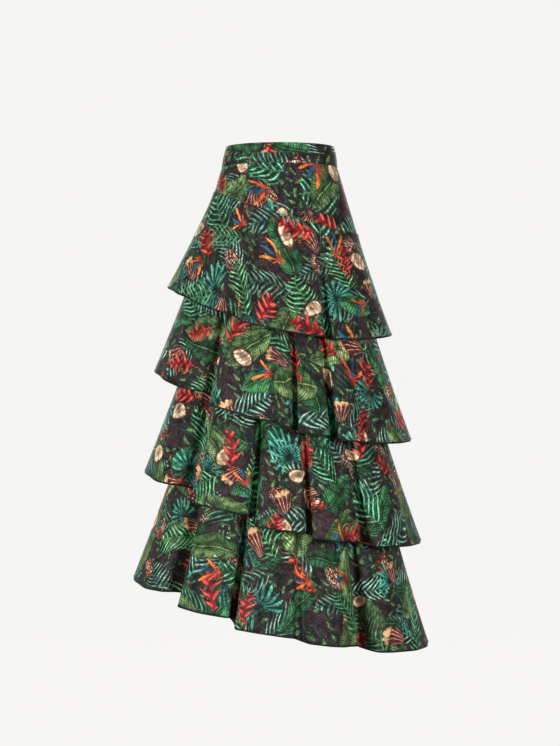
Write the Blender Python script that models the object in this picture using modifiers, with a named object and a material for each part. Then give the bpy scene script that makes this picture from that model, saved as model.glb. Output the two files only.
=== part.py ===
"""Tiered maxi skirt with a slanted hem, in the shape it has when worn: open at the waist and the hem.

Metres, +Z up, the front of the skirt faces -Y. The origin is the middle of the waist, half way up
the waistband. Every cloth piece is an open surface, worked out from rings, with a Solidify wall.
Angles run round the wearer: 0 at the centre front, +90 at the wearer's left side, which is +X. The
side seams lie a little behind the widest line, as the photo shows neither them nor the zip.
"""
import math
from collections import namedtuple

import bmesh
import bpy
import numpy as np
from mathutils import Matrix, Vector

# Cloth and seams
CLOTH = 0.0012
BAND_CLOTH = 0.0020
SIDE_SEAM_ANGLE = 100.0
SIDE_SEAM_GAP = 0.0004
BAND_SEAM_GAP = 0.0003
SEAT_GAP = 0.0005
COLUMN_STEP = 5.0
DIP_POWER = 1.5
BACK_DIP = 0.8
FLARE_POWER = 1.1  # above 1, a flounce starts out steep and spreads more towards its hem

# A ring of cloth round the wearer. left and right are where its ends lie in X, and left_z and right_z
# their heights; depth is half its size from front to back; dip is how far the centre front hangs
# below a straight line between the two ends.
Ring = namedtuple("Ring", "left left_z right right_z depth dip")
WAIST_TOP = Ring(-0.117, 0.0225, 0.117, 0.0225, 0.091, 0.0)
WAIST_SEAM = Ring(-0.127, -0.0225, 0.125, -0.0225, 0.099, 0.0)
SEAM_1 = Ring(-0.142, -0.074, 0.168, -0.167, 0.122, 0.016)
SEAM_2 = Ring(-0.157, -0.161, 0.179, -0.296, 0.134, 0.018)
SEAM_3 = Ring(-0.172, -0.348, 0.194, -0.492, 0.144, 0.018)
SEAM_4 = Ring(-0.192, -0.558, 0.218, -0.693, 0.158, 0.018)
HEM_1 = Ring(-0.244, -0.281, 0.244, -0.385, 0.210, 0.047)
HEM_2 = Ring(-0.273, -0.463, 0.286, -0.612, 0.240, 0.042)
HEM_3 = Ring(-0.294, -0.681, 0.307, -0.832, 0.259, 0.033)
HEM_4 = Ring(-0.318, -0.912, 0.323, -1.054, 0.276, 0.022)
BODY_TURN_UP = 0.012  # the body runs this far below the last flounce's seam

# A valley between two flutes of a flounce. angle is where it lies; depth, at the hem; width, the
# half-width in degrees; lean, how far its floor is pushed sideways; step, how much lower the hem is
# on its left than on its right, as the wearer has them; start, the share of the way down at which
# it begins.
Fold = namedtuple("Fold", "angle depth width lean step start")
FOLDS_1 = [
    Fold(-54.0, 0.008, 9.0, 0.000, 0.000, 0.30),
    Fold(-15.0, 0.018, 5.5, 0.006, 0.004, 0.15),
    Fold(26.0, 0.024, 4.2, -0.008, 0.003, 0.05),
    Fold(60.0, 0.008, 8.0, 0.000, 0.000, 0.40),
    Fold(122.0, 0.022, 4.4, 0.006, -0.003, 0.05),
    Fold(158.0, 0.018, 6.0, -0.006, -0.003, 0.15),
    Fold(-166.0, 0.022, 4.2, 0.006, -0.003, 0.05),
    Fold(-126.0, 0.018, 5.5, -0.006, -0.002, 0.10),
]
FOLDS_2 = [
    Fold(-38.0, 0.046, 3.2, -0.008, 0.018, 0.05),
    Fold(-3.0, 0.018, 2.6, 0.006, 0.004, 0.15),
    Fold(4.5, 0.034, 2.4, 0.008, 0.003, 0.10),
    Fold(23.0, 0.046, 2.5, 0.013, 0.004, 0.05),
    Fold(42.0, 0.014, 4.0, 0.004, 0.000, 0.30),
    Fold(114.0, 0.040, 3.0, 0.010, -0.008, 0.05),
    Fold(137.0, 0.032, 2.8, -0.010, -0.005, 0.10),
    Fold(161.0, 0.042, 2.8, 0.012, -0.010, 0.00),
    Fold(-173.0, 0.026, 3.4, -0.008, -0.004, 0.15),
    Fold(-146.0, 0.042, 2.8, 0.012, -0.010, 0.05),
    Fold(-116.0, 0.038, 3.0, -0.010, -0.008, 0.05),
]
FOLDS_3 = [
    Fold(-41.5, 0.048, 3.0, -0.008, 0.024, 0.00),
    Fold(-12.5, 0.044, 2.5, -0.010, 0.016, 0.05),
    Fold(10.0, 0.038, 2.4, 0.010, 0.004, 0.05),
    Fold(27.0, 0.018, 2.8, 0.004, -0.002, 0.20),
    Fold(38.5, 0.048, 2.7, 0.014, 0.006, 0.00),
    Fold(113.0, 0.044, 2.6, 0.012, -0.010, 0.00),
    Fold(134.0, 0.034, 2.6, -0.010, -0.006, 0.10),
    Fold(154.0, 0.044, 2.5, 0.012, -0.010, 0.00),
    Fold(176.0, 0.030, 2.6, -0.009, -0.004, 0.10),
    Fold(-161.0, 0.044, 2.5, 0.012, -0.010, 0.05),
    Fold(-137.0, 0.036, 2.6, -0.010, -0.006, 0.05),
    Fold(-113.0, 0.044, 2.8, 0.012, -0.008, 0.00),
]
FOLDS_4 = [
    Fold(-49.0, 0.060, 3.0, -0.008, 0.018, 0.00),
    Fold(-18.5, 0.050, 2.3, -0.015, 0.016, 0.05),
    Fold(8.0, 0.026, 2.8, -0.006, 0.004, 0.10),
    Fold(36.5, 0.058, 2.5, 0.016, 0.010, 0.00),
    Fold(113.0, 0.052, 2.6, 0.014, -0.012, 0.00),
    Fold(135.0, 0.044, 2.4, -0.012, -0.006, 0.05),
    Fold(157.0, 0.054, 2.4, 0.014, -0.012, 0.00),
    Fold(179.0, 0.036, 2.6, -0.010, -0.004, 0.10),
    Fold(-158.0, 0.054, 2.3, 0.013, -0.012, 0.00),
    Fold(-135.0, 0.044, 2.4, -0.012, -0.006, 0.05),
    Fold(-113.0, 0.052, 2.6, 0.013, -0.010, 0.00),
]
STEP_REACH = 12.0  # degrees over which a step in the hem fades out
FOLD_EDGE = (0.5, 0.85, 1.2, 1.7, 2.4)  # columns of the mesh beside a fold, in half-widths of it

# Concealed zip, in the wearer's left side seam. Its slider is at the top, with a pull tab on it.
PIVOT_Z = 0.011
SLIDER = (0.0012, 0.0045, 0.0080)  # thickness, width and height
LUG_WIDTH = 0.0016
LUG_RADIUS = 0.0016
LUG_HOLE_RADIUS = 0.0009
PIVOT_OUT = 0.0012  # from the slider's face to the pull tab's pivot
PULL_LENGTH = 0.0200
PULL_WIDTH = 0.0052
PULL_THICKNESS = 0.0008
PULL_WINDOW = (0.0026, 0.0034)  # width and height
PULL_BAR = 0.0008

LEAF = (0.035, 0.100, 0.055)
GROUND = (0.045, 0.035, 0.033)
BLACK_METAL = (0.02, 0.02, 0.022)


def mix(first, second, share):
    return first + (second - first) * share


def ring_between(upper, lower, share):
    """The ring that share of the way down from one ring to the next."""
    return Ring(*(mix(u, w, share) for u, w in zip(upper, lower)))


def ring_points(ring, degrees, out=0.0):
    """Points of a ring at these angles, moved out by that much."""
    turn = np.radians(degrees)
    middle, half = (ring.left + ring.right) / 2, (ring.right - ring.left) / 2
    sink = np.where(np.cos(turn) > 0, ring.dip, ring.dip * BACK_DIP)
    x = middle + (half + out) * np.sin(turn)
    y = -(ring.depth + out) * np.cos(turn)
    z = mix(ring.left_z, ring.right_z, (1 + np.sin(turn)) / 2)
    return np.stack([x, y, z - sink * np.abs(np.cos(turn)) ** DIP_POWER], axis=-1)


def apart(degrees, angle):
    """How far these angles lie past another, from -180 to 180 degrees."""
    return (degrees - angle + 180.0) % 360.0 - 180.0


def flounce_points(top, hem, folds, degrees, share, out):
    """Points of a flounce at these angles, share of the way down: the ring there, with its folds pushed in."""
    level, spread = ring_between(top, hem, share), ring_between(top, hem, share**FLARE_POWER)
    ring = level._replace(left=spread.left, right=spread.right, depth=spread.depth)
    points = ring_points(ring, degrees, out)
    turn = np.radians(degrees)
    outward = np.stack([np.sin(turn), -np.cos(turn), 0 * turn], axis=-1)
    along = np.stack([np.cos(turn), np.sin(turn), 0 * turn], axis=-1)
    for fold in folds:
        grown = max(0.0, (share - fold.start) / (1 - fold.start))
        past = apart(degrees, fold.angle)
        valley = np.exp(-np.abs(past / fold.width) ** 3)[:, None]
        points += grown * valley * (fold.lean * along - fold.depth * outward)
        side = np.tanh(1.5 * past / fold.width) * np.exp(-((past / STEP_REACH) ** 2))
        points[:, 2] -= grown * fold.step / 2 * side
    return points


def columns(folds, start, end):
    """Angles for a panel's mesh columns from one side seam to the other, closer together beside each fold."""
    marks = {start, end}
    for fold in folds:
        for reach in (0.0, *FOLD_EDGE, *(-r for r in FOLD_EDGE)):
            angle = fold.angle + reach * fold.width
            angle += 360.0 * (angle < start) - 360.0 * (angle > end)
            if start < angle < end:
                marks.add(angle)
    kept = [start]
    for angle in sorted(marks)[1:]:
        if angle - kept[-1] < 0.6 and angle != end:
            continue
        gap = angle - kept[-1]
        pieces = math.ceil(gap / COLUMN_STEP)
        kept.extend(kept[-1] + gap * np.arange(1, pieces + 1) / pieces)
    return np.array(kept)


HALVES = {
    "front": (-SIDE_SEAM_ANGLE, SIDE_SEAM_ANGLE),
    "back": (SIDE_SEAM_ANGLE, 360.0 - SIDE_SEAM_ANGLE),
}


def material(name, colour, roughness, metallic=0.0):
    made = bpy.data.materials.new(name)
    made.use_nodes = True
    shader = made.node_tree.nodes["Principled BSDF"]
    shader.inputs["Base Color"].default_value = (*colour, 1.0)
    shader.inputs["Roughness"].default_value = roughness
    shader.inputs["Metallic"].default_value = metallic
    return made


def collection(name):
    made = bpy.data.collections.new(name)
    bpy.context.scene.collection.children.link(made)
    return made


def add_object(name, mesh, finish, group):
    made = bpy.data.objects.new(name, mesh)
    mesh.materials.append(finish)
    group.objects.link(made)
    return made


def cloth_panel(name, rows, half, thickness, finish, group):
    """A wall of cloth lofted through rows of points, split from its other half at the side seams."""
    points = np.array(rows)
    clear = SIDE_SEAM_GAP / 2 * (-1 if half == "front" else 1)
    points[:, [0, -1], 1] += clear
    down, round_it = points.shape[:2]
    index = np.arange(down * round_it).reshape(down, round_it)
    corners = (index[:-1, :-1], index[1:, :-1], index[1:, 1:], index[:-1, 1:])
    faces = np.stack(corners, axis=-1).reshape(-1, 4)
    mesh = bpy.data.meshes.new(name)
    mesh.from_pydata(points.reshape(-1, 3).tolist(), [], faces.tolist())
    mesh.shade_smooth()
    made = add_object(name, mesh, finish, group)
    wall = made.modifiers.new("wall", "SOLIDIFY")
    wall.thickness = thickness
    wall.offset = -1.0
    return made


def waistband(finish, group):
    for half, (start, end) in HALVES.items():
        angles = columns([], start, end)
        rows = [
            ring_points(ring_between(WAIST_TOP, WAIST_SEAM, share), angles, BAND_CLOTH - CLOTH)
            for share in (0.0, 0.5, 1.0)
        ]
        cloth_panel(f"waistband_{half}", rows, half, BAND_CLOTH, finish, group)


def body(finish, group):
    """The front and back panels that carry the flounces. Their tops show as the yoke."""
    top = WAIST_SEAM._replace(
        left_z=WAIST_SEAM.left_z - BAND_SEAM_GAP, right_z=WAIST_SEAM.right_z - BAND_SEAM_GAP
    )
    end_ring = SEAM_4._replace(
        left_z=SEAM_4.left_z - BODY_TURN_UP, right_z=SEAM_4.right_z - BODY_TURN_UP
    )
    rings = [top, ring_between(top, SEAM_1, 0.5), SEAM_1, SEAM_2, SEAM_3, SEAM_4, end_ring]
    for half, (start, end) in HALVES.items():
        angles = columns([], start, end)
        rows = [ring_points(ring, angles) for ring in rings]
        cloth_panel(f"skirt_{half}", rows, half, CLOTH, finish, group)


Flounce = namedtuple("Flounce", "seam hem folds rows")
FLOUNCES = {
    "tier_1": Flounce(SEAM_1, HEM_1, FOLDS_1, 3),
    "tier_2": Flounce(SEAM_2, HEM_2, FOLDS_2, 4),
    "tier_3": Flounce(SEAM_3, HEM_3, FOLDS_3, 4),
    "tier_4": Flounce(SEAM_4, HEM_4, FOLDS_4, 4),
}


def flounces(finish, group):
    """Each flounce is sewn on the outside of the body along its slanted seam, smooth there and fluted at its hem."""
    for name, flounce in FLOUNCES.items():
        for half, (start, end) in HALVES.items():
            angles = columns(flounce.folds, start, end)
            rows = []
            for share in np.linspace(0.0, 1.0, flounce.rows + 1):
                out = mix(SEAT_GAP + CLOTH, 0.0, share)
                rows.append(
                    flounce_points(flounce.seam, flounce.hem, flounce.folds, angles, share, out)
                )
            cloth_panel(f"{name}_{half}", rows, half, CLOTH, finish, group)


def block(size, centre):
    """A mesh box of that size about a centre."""
    shape = bmesh.new()
    bmesh.ops.create_cube(shape, size=1.0)
    bmesh.ops.scale(shape, vec=Vector(size), verts=shape.verts)
    bmesh.ops.translate(shape, vec=Vector(centre), verts=shape.verts)
    mesh = bpy.data.meshes.new("block")
    shape.to_mesh(mesh)
    shape.free()
    return mesh


def rod(radius, length, centre, sides=24):
    """A mesh cylinder along Y about a centre."""
    shape = bmesh.new()
    bmesh.ops.create_cone(
        shape, cap_ends=True, segments=sides, radius1=radius, radius2=radius, depth=length
    )
    for vertex in shape.verts:
        x, y, z = vertex.co
        vertex.co = (x + centre[0], -z + centre[1], y + centre[2])
    mesh = bpy.data.meshes.new("rod")
    shape.to_mesh(mesh)
    shape.free()
    return mesh


def cutter(name, mesh, like, group):
    made = bpy.data.objects.new(name, mesh)
    made.location, made.rotation_euler = like.location, like.rotation_euler
    made.hide_render = True
    made.display_type = "WIRE"
    group.objects.link(made)
    return made


def boolean(target, other, operation):
    change = target.modifiers.new(operation.lower(), "BOOLEAN")
    change.operation = operation
    change.object = other


def zip_end(finish, group, tools):
    """The slider on the outside of the side seam, and the pull tab whose top bar turns in its lug."""
    share = (WAIST_TOP.right_z - PIVOT_Z) / (WAIST_TOP.right_z - WAIST_SEAM.right_z)
    ring = ring_between(WAIST_TOP, WAIST_SEAM, share)
    seam, beside = (Vector(ring_points(ring, SIDE_SEAM_ANGLE + turn)) for turn in (0.0, 1.0))
    down = Vector(ring_points(WAIST_SEAM, SIDE_SEAM_ANGLE)) - seam
    outward = down.cross(beside - seam).normalized()
    along = outward.cross(down).normalized()
    facing = Matrix((outward, along, outward.cross(along))).transposed().to_euler()
    thick, wide, tall = SLIDER
    stand_off = BAND_CLOTH - CLOTH + BAND_SEAM_GAP + thick + PIVOT_OUT
    pivot = seam + stand_off * outward

    slider = add_object(
        "zip_slider", block(SLIDER, (-PIVOT_OUT - thick / 2, 0.0, 0.0)), finish, group
    )
    slider.location, slider.rotation_euler = pivot, facing
    foot = PIVOT_OUT + thick / 2
    neck = block((foot, LUG_WIDTH, 2 * LUG_RADIUS), (-foot / 2, 0.0, 0.0))
    boolean(slider, cutter("lug_neck", neck, slider, tools), "UNION")
    eye = rod(LUG_RADIUS, LUG_WIDTH, (0.0, 0.0, 0.0))
    boolean(slider, cutter("lug_eye", eye, slider, tools), "UNION")
    hole = rod(LUG_HOLE_RADIUS, wide, (0.0, 0.0, 0.0))
    boolean(slider, cutter("lug_hole", hole, slider, tools), "DIFFERENCE")

    length = PULL_LENGTH + PULL_BAR / 2
    plate = block((PULL_THICKNESS, PULL_WIDTH, length), (0.0, 0.0, PULL_BAR / 2 - length / 2))
    pull = add_object("zip_pull", plate, finish, group)
    pull.location, pull.rotation_euler = slider.location, slider.rotation_euler
    window_wide, window_tall = PULL_WINDOW
    window = block(
        (4 * PULL_THICKNESS, window_wide, window_tall), (0.0, 0.0, -PULL_BAR / 2 - window_tall / 2)
    )
    boolean(pull, cutter("pull_window", window, pull, tools), "DIFFERENCE")


def main():
    for old in list(bpy.data.objects):
        bpy.data.objects.remove(old, do_unlink=True)
    parts, tools = collection("Maxi skirt"), collection("Cutters")
    leaf_cloth = material("leaf_print_cloth", LEAF, 0.62)
    dark_cloth = material("leaf_print_band", GROUND, 0.62)
    metal = material("black_painted_metal", BLACK_METAL, 0.35, 0.4)
    waistband(dark_cloth, parts)
    body(leaf_cloth, parts)
    flounces(leaf_cloth, parts)
    zip_end(metal, parts, tools)


main()
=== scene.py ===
import math
from collections import namedtuple

import bpy
import numpy as np
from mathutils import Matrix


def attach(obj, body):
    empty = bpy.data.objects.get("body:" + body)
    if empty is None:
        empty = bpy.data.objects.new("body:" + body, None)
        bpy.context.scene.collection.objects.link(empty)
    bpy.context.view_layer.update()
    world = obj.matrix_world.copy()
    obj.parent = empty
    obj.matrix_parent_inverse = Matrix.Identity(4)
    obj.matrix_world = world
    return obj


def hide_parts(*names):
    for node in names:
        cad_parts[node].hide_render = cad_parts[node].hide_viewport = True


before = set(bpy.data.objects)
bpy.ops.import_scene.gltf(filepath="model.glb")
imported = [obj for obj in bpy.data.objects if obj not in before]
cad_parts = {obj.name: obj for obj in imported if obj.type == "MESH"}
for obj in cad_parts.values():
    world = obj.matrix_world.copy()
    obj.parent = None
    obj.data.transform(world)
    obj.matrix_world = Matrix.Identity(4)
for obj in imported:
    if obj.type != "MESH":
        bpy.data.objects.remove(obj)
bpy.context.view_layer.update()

# The waistband is a stiffened band, 45 mm high, folded over at the top and sewn to the skirt below it.
# Its outside is cut from the same leaf-printed cloth as the rest. Rings of cloth round the wearer, the
# print and the cloth itself are set out here, because this is the first piece made of them.

# A ring of cloth: left and right are where its ends lie in X, left_z and right_z their heights, depth
# is half its size from front to back, and dip is how far the centre front hangs below its ends.
Ring = namedtuple("Ring", "left left_z right right_z depth dip")
WAIST_TOP = Ring(-0.117, 0.0225, 0.117, 0.0225, 0.091, 0.0)
WAIST_SEAM = Ring(-0.127, -0.0225, 0.125, -0.0225, 0.099, 0.0)
DIP_POWER = 1.5
BACK_DIP = 0.8
SIDE_SEAM_ANGLE = 100.0
BAND_CLOTH = 0.0020
CLOTH = 0.0012
BAND_BULGE = 0.0006


def ring_between(upper, lower, share):
    """The ring that share of the way down from one ring to the next."""
    return Ring(*(u + (w - u) * share for u, w in zip(upper, lower)))


def ring_points(ring, degrees, out=0.0):
    """Points of a ring: half its width times the sine of the angle in X, its depth times the cosine in Y,
    and in Z a straight line in the sine, sunk by dip times the cosine's size to the power DIP_POWER."""
    turn = np.radians(degrees)
    middle, half = (ring.left + ring.right) / 2, (ring.right - ring.left) / 2
    sink = np.where(np.cos(turn) > 0, ring.dip, ring.dip * BACK_DIP)
    x = middle + (half + out) * np.sin(turn)
    y = -(ring.depth + out) * np.cos(turn)
    z = ring.left_z + (ring.right_z - ring.left_z) * (1 + np.sin(turn)) / 2
    return np.stack([x, y, z - sink * np.abs(np.cos(turn)) ** DIP_POWER], axis=-1)


def dye(red, green, blue):
    """A colour as the dyer names it, in 0 to 255, made linear for the shader."""
    share = np.array([red, green, blue]) / 255
    return (*np.where(share > 0.04045, ((share + 0.055) / 1.055) ** 2.4, share / 12.92).tolist(), 1.0)


def set_in(tree, socket, value):
    """Joins a value to a socket, by a link where it comes from another node."""
    if isinstance(value, bpy.types.NodeSocket):
        tree.links.new(value, socket)
    else:
        socket.default_value = value


def reckon(tree, operation, *values, clamp=False):
    """One sum of the print's arithmetic."""
    node = tree.nodes.new("ShaderNodeMath")
    node.operation = operation
    node.use_clamp = clamp
    for socket, value in zip(node.inputs, values):
        set_in(tree, socket, value)
    return node.outputs[0]


def fade(tree, value, start, end, low=0.0, high=1.0):
    """A soft step from low to high as the value goes from start to end."""
    node = tree.nodes.new("ShaderNodeMapRange")
    node.interpolation_type = "SMOOTHSTEP"
    for socket, setting in zip(node.inputs, (value, start, end, low, high)):
        set_in(tree, socket, setting)
    return node.outputs[0]


def blend_dyes(tree, share, under, over, way="MIX"):
    """One colour laid over another by a share."""
    node = tree.nodes.new("ShaderNodeMix")
    node.data_type = "RGBA"
    node.blend_type = way
    for socket, value in zip((node.inputs[0], node.inputs[6], node.inputs[7]), (share, under, over)):
        set_in(tree, socket, value)
    return node.outputs[2]


def noise(tree, place, scale, detail=2.0, dimensions="2D"):
    """A noise texture on a place; 2D noise takes no notice of Z."""
    node = tree.nodes.new("ShaderNodeTexNoise")
    node.noise_dimensions = dimensions
    set_in(tree, node.inputs["Vector"], place)
    node.inputs["Scale"].default_value = scale
    node.inputs["Detail"].default_value = detail
    return node


def new_material(name):
    """A new material, its node tree and its shader."""
    made = bpy.data.materials.new(name)
    made.use_nodes = True
    return made, made.node_tree, made.node_tree.nodes["Principled BSDF"]


def place_on_map(tree, name):
    """The place on a piece's own UV map, in metres."""
    node = tree.nodes.new("ShaderNodeUVMap")
    node.uv_map = name
    return node.outputs[0]


def raise_bump(tree, shader, height, strength, distance):
    """Lights the surface as if it stood out by a height, 1 of it being distance metres."""
    bump = tree.nodes.new("ShaderNodeBump")
    bump.inputs["Strength"].default_value = strength
    bump.inputs["Distance"].default_value = distance
    set_in(tree, bump.inputs["Height"], height)
    set_in(tree, shader.inputs["Normal"], bump.outputs[0])


# One kind of motif in the print. It is tossed once into each cell of a turned half-drop grid: cell is
# the cell's size, turn the grid's angle, tilt how far the motif may turn either way in its cell, and
# kept the share of cells that have one. long and wide are the motif's own size, dark, light and line
# its dyes, shape says what draws it, and form holds the numbers that only that shape needs.
Motif = namedtuple("Motif", "name shape cell turn tilt kept long wide form dark light line")


def tossed(tree, cloth, motif, number):
    """Splits the cloth into the motif's cells. Gives the place in the cell, from the motif's middle and
    turned with it, a random tone, and 1 where the cell has a motif and 0 where it is left empty."""
    place = tree.nodes.new("ShaderNodeMapping")
    place.vector_type = "TEXTURE"
    set_in(tree, place.inputs["Vector"], cloth)
    place.inputs["Location"].default_value = (0.37 * number, 0.61 * number, 0.0)
    place.inputs["Rotation"].default_value = (0.0, 0.0, math.radians(motif.turn))
    place.inputs["Scale"].default_value = (motif.cell, motif.cell, 1.0)
    spot = tree.nodes.new("ShaderNodeSeparateXYZ")
    set_in(tree, spot.inputs[0], place.outputs[0])
    column = reckon(tree, "FLOOR", spot.outputs[0])
    drop = reckon(tree, "MULTIPLY", reckon(tree, "FLOORED_MODULO", column, 2.0), 0.5)
    lowered = reckon(tree, "ADD", spot.outputs[1], drop)
    row = reckon(tree, "FLOOR", lowered)
    cell = tree.nodes.new("ShaderNodeCombineXYZ")
    for socket, value in zip(cell.inputs, (column, row, float(number))):
        set_in(tree, socket, value)
    chance = tree.nodes.new("ShaderNodeTexWhiteNoise")
    set_in(tree, chance.inputs["Vector"], cell.outputs[0])
    numbers = tree.nodes.new("ShaderNodeSeparateColor")
    set_in(tree, numbers.inputs[0], chance.outputs["Color"])
    first, second, third = numbers.outputs[:3]
    room = max(0.0, motif.cell - motif.long)
    inside = tree.nodes.new("ShaderNodeCombineXYZ")
    for socket, value, corner, stray in zip(
        inside.inputs, (spot.outputs[0], lowered), (column, row), (second, third)
    ):
        from_corner = reckon(tree, "SUBTRACT", value, corner)
        middle = reckon(tree, "MULTIPLY_ADD", stray, room / motif.cell, 0.5 - room / motif.cell / 2)
        from_middle = reckon(tree, "SUBTRACT", from_corner, middle)
        set_in(tree, socket, reckon(tree, "MULTIPLY", from_middle, motif.cell))
    turned = tree.nodes.new("ShaderNodeVectorRotate")
    turned.rotation_type = "Z_AXIS"
    set_in(tree, turned.inputs["Vector"], inside.outputs[0])
    swing = math.radians(2 * motif.tilt)
    set_in(tree, turned.inputs["Angle"], reckon(tree, "MULTIPLY_ADD", first, swing, -swing / 2))
    local = tree.nodes.new("ShaderNodeSeparateXYZ")
    set_in(tree, local.inputs[0], turned.outputs[0])
    kept = reckon(tree, "LESS_THAN", chance.outputs["Value"], motif.kept)
    return local.outputs[0], local.outputs[1], second, kept


def taper(tree, x, motif, fullness, heavy=0.0):
    """A leaf's half-width: 1 less the square of the share of its length, to the power fullness, times
    half its width, so nothing at both tips. heavy makes it widest nearer its foot."""
    share = reckon(tree, "DIVIDE", x, motif.long / 2)
    left = reckon(tree, "MULTIPLY_ADD", reckon(tree, "MULTIPLY", share, share), -1.0, 1.0, clamp=True)
    half = reckon(tree, "MULTIPLY", reckon(tree, "POWER", left, fullness), motif.wide / 2)
    return reckon(tree, "MULTIPLY", half, reckon(tree, "MULTIPLY_ADD", share, -heavy, 1.0))


LEAF_FULLNESS = 0.62
LEAF_HEAVY = 0.22
RIB_SLANT = 0.75
RIBS_PER_TEAR = 4.7
TEAR_AT = 0.94
TORN_DEPTH = 0.40


def broad_leaf(tree, x, y, tone, motif):
    """A banana leaf: ribs slant out from a pale midrib, one half lies in the light, a gloss runs along
    each half, and the edge is torn here and there along a rib."""
    (pitch,) = motif.form
    half = taper(tree, x, motif, LEAF_FULLNESS, LEAF_HEAVY)
    away = reckon(tree, "ABSOLUTE", y)
    slant = reckon(tree, "MULTIPLY_ADD", away, -RIB_SLANT, x)
    rib = reckon(tree, "SINE", reckon(tree, "MULTIPLY", slant, 2 * math.pi / pitch))
    tear = reckon(tree, "SINE", reckon(tree, "MULTIPLY", slant, 2 * math.pi / (RIBS_PER_TEAR * pitch)))
    torn = reckon(tree, "MULTIPLY_ADD", reckon(tree, "GREATER_THAN", tear, TEAR_AT), -TORN_DEPTH, 1.0)
    inside = reckon(tree, "SUBTRACT", reckon(tree, "MULTIPLY", half, torn), away)
    share = reckon(tree, "DIVIDE", away, reckon(tree, "MAXIMUM", half, 0.001), clamp=True)
    gloss = reckon(tree, "SINE", reckon(tree, "MULTIPLY", share, 2.6))
    gloss = reckon(tree, "POWER", gloss, 1.6)
    light = reckon(tree, "MULTIPLY", gloss, reckon(tree, "MULTIPLY_ADD", rib, 0.34, 0.50))
    light = reckon(tree, "MULTIPLY", light, fade(tree, y, -0.002, 0.002, 0.45, 1.0))
    light = reckon(tree, "MULTIPLY", light, reckon(tree, "MULTIPLY_ADD", tone, 1.1, 0.45), clamp=True)
    colour = blend_dyes(tree, light, motif.dark, motif.light)
    midrib = fade(tree, away, 0.0003, 0.0013, 0.7, 0.0)
    return blend_dyes(tree, midrib, colour, motif.line), inside


FROND_FULLNESS = 0.55
LEAFLET_CURVE = 18.0
STEM_WIDTH = 0.0009


def frond(tree, x, y, tone, motif):
    """Leaflets that slant and curve off a stem on both sides, half a pitch apart: each takes a share of
    the pitch at its foot, narrows to a point, and is lightest along its middle and near its tip."""
    pitch, fill, point, lean = motif.form
    half = taper(tree, x, motif, FROND_FULLNESS)
    away = reckon(tree, "ABSOLUTE", y)
    share = reckon(tree, "DIVIDE", away, reckon(tree, "MAXIMUM", half, 0.001), clamp=True)
    curve = reckon(tree, "MULTIPLY", away, reckon(tree, "MULTIPLY_ADD", away, LEAFLET_CURVE, lean))
    stagger = reckon(tree, "MULTIPLY_ADD", reckon(tree, "GREATER_THAN", y, 0.0), pitch / 2, x)
    slant = reckon(tree, "SUBTRACT", stagger, curve)
    off = reckon(tree, "DIVIDE", reckon(tree, "PINGPONG", slant, pitch / 2), pitch / 2)
    width = reckon(tree, "MULTIPLY_ADD", reckon(tree, "POWER", share, point), -fill, fill)
    leaflet = reckon(tree, "MULTIPLY", reckon(tree, "SUBTRACT", width, off), pitch / 2)
    stem = reckon(tree, "SUBTRACT", reckon(tree, "MINIMUM", half, STEM_WIDTH), away)
    light = reckon(tree, "POWER", reckon(tree, "MULTIPLY_ADD", off, -1.30, 1.05, clamp=True), 3.0)
    sweep = reckon(tree, "SINE", reckon(tree, "MULTIPLY_ADD", share, 2.75, 0.20))
    light = reckon(tree, "MULTIPLY", light, sweep)
    light = reckon(tree, "MULTIPLY", light, reckon(tree, "MULTIPLY_ADD", tone, 1.0, 0.6), clamp=True)
    colour = blend_dyes(tree, light, motif.dark, motif.light)
    colour = blend_dyes(tree, fade(tree, stem, -0.0004, 0.0003), colour, motif.line)
    return colour, reckon(tree, "MAXIMUM", leaflet, stem)


FINGER_ROOT = 0.15
HALF_OPENED = 0.5
CUT_SHORT = 0.25


def fan(tree, x, y, tone, motif):
    """Petals or leaf fingers round a middle: each is a lobe of the cosine of the angle, and those behind
    the stalk are cut short. The line dye colours the middle finger or, where it is narrow, the root."""
    fingers, sharp, opened = motif.form
    squares = reckon(tree, "MULTIPLY_ADD", x, x, reckon(tree, "MULTIPLY", y, y))
    radius = reckon(tree, "SQRT", squares)
    angle = reckon(tree, "ARCTAN2", y, x)
    lobe = reckon(tree, "ABSOLUTE", reckon(tree, "COSINE", reckon(tree, "MULTIPLY", angle, fingers / 2)))
    swept = reckon(tree, "ABSOLUTE", angle)
    finger = reckon(tree, "POWER", lobe, sharp)
    reach = reckon(tree, "MULTIPLY_ADD", finger, 1 - FINGER_ROOT, FINGER_ROOT)
    reach = reckon(tree, "MULTIPLY", reach, fade(tree, swept, opened, opened + HALF_OPENED, 1.0, CUT_SHORT))
    reach = reckon(tree, "MULTIPLY", reach, motif.long / 2)
    inside = reckon(tree, "MULTIPLY", reckon(tree, "SUBTRACT", reach, radius), 0.6)
    share = reckon(tree, "DIVIDE", radius, motif.long / 2)
    tip = reckon(tree, "ADD", share, FINGER_ROOT)
    light = reckon(tree, "MULTIPLY", reckon(tree, "POWER", lobe, 3.0), tip)
    light = reckon(tree, "MULTIPLY", light, reckon(tree, "MULTIPLY_ADD", tone, 1.0, 0.7), clamp=True)
    colour = blend_dyes(tree, light, motif.dark, motif.light)
    middle = fade(tree, reckon(tree, "MULTIPLY", swept, fingers / math.pi), 0.55, 0.85, 1.0, 0.0)
    root = fade(tree, share, 0.10, 0.24, 1.0, 0.0)
    marked = middle if opened < 2.0 else root
    return blend_dyes(tree, marked, colour, motif.line), inside


def oval(tree, x, y, motif):
    """The square root of the sum of the squares of both shares: 0 in an oval's middle and 1 at its rim."""
    across = reckon(tree, "DIVIDE", y, motif.wide / 2)
    share = reckon(tree, "DIVIDE", x, motif.long / 2)
    squares = reckon(tree, "MULTIPLY_ADD", share, share, reckon(tree, "MULTIPLY", across, across))
    return reckon(tree, "SQRT", squares)


SEED_DISORDER = 0.55
POD_SHADE = dye(40, 22, 18)


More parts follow.
